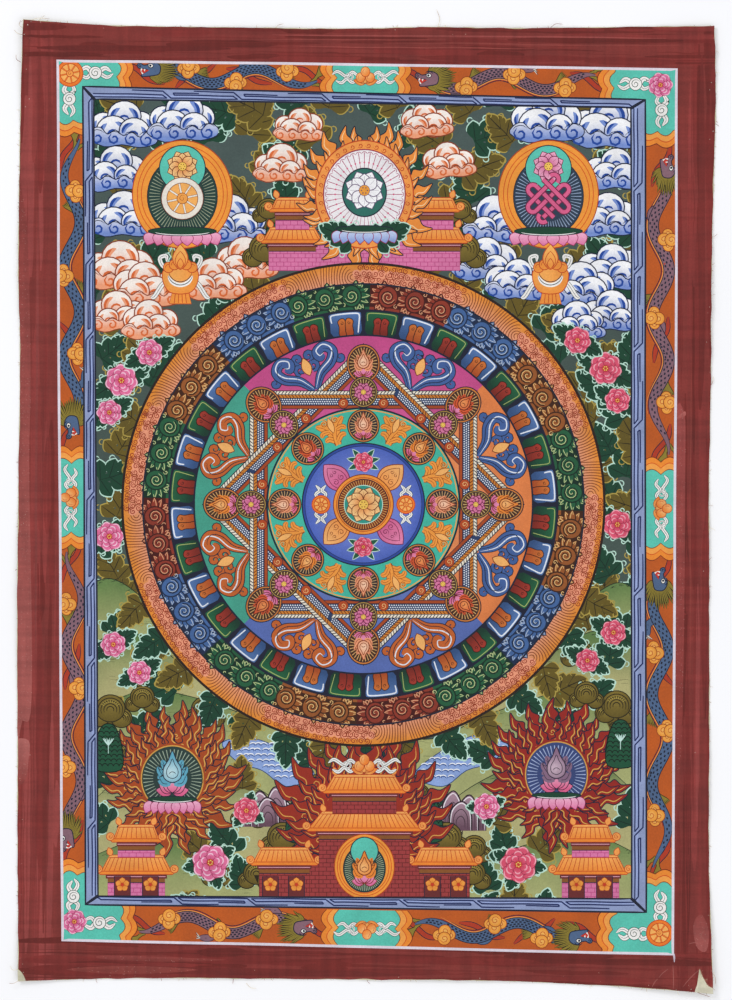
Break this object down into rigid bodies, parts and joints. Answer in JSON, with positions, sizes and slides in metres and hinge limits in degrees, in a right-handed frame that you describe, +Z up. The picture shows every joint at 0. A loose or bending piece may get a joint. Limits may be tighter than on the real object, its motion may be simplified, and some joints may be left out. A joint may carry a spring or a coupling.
{
  "type": "unmounted thangka painting cloth",
  "caption": "Unmounted painted cotton panel with a wide margin, a patterned border and a picture field, lying flat with its painted face up.",
  "frame": {"origin": "on the surface the cloth lies on, under the middle of its bounding box", "axes": "+X to the picture's right, +Y to the picture's top, +Z up out of the painted face"},
  "size_m": [0.3494, 0.487, 0.0035],
  "materials": {
    "painted_canvas": "matt maroon paint brushed on primed cotton canvas, weave showing through",
    "mineral_paint": "opaque matt water-based paint on the canvas, many colours in flat and shaded strokes",
    "bare_thread": "unbleached cotton thread at the frayed cut edges"
  },
  "bodies": {
    "root": {"painted_cloth": "painted_canvas"}
  },
  "joints": []
}
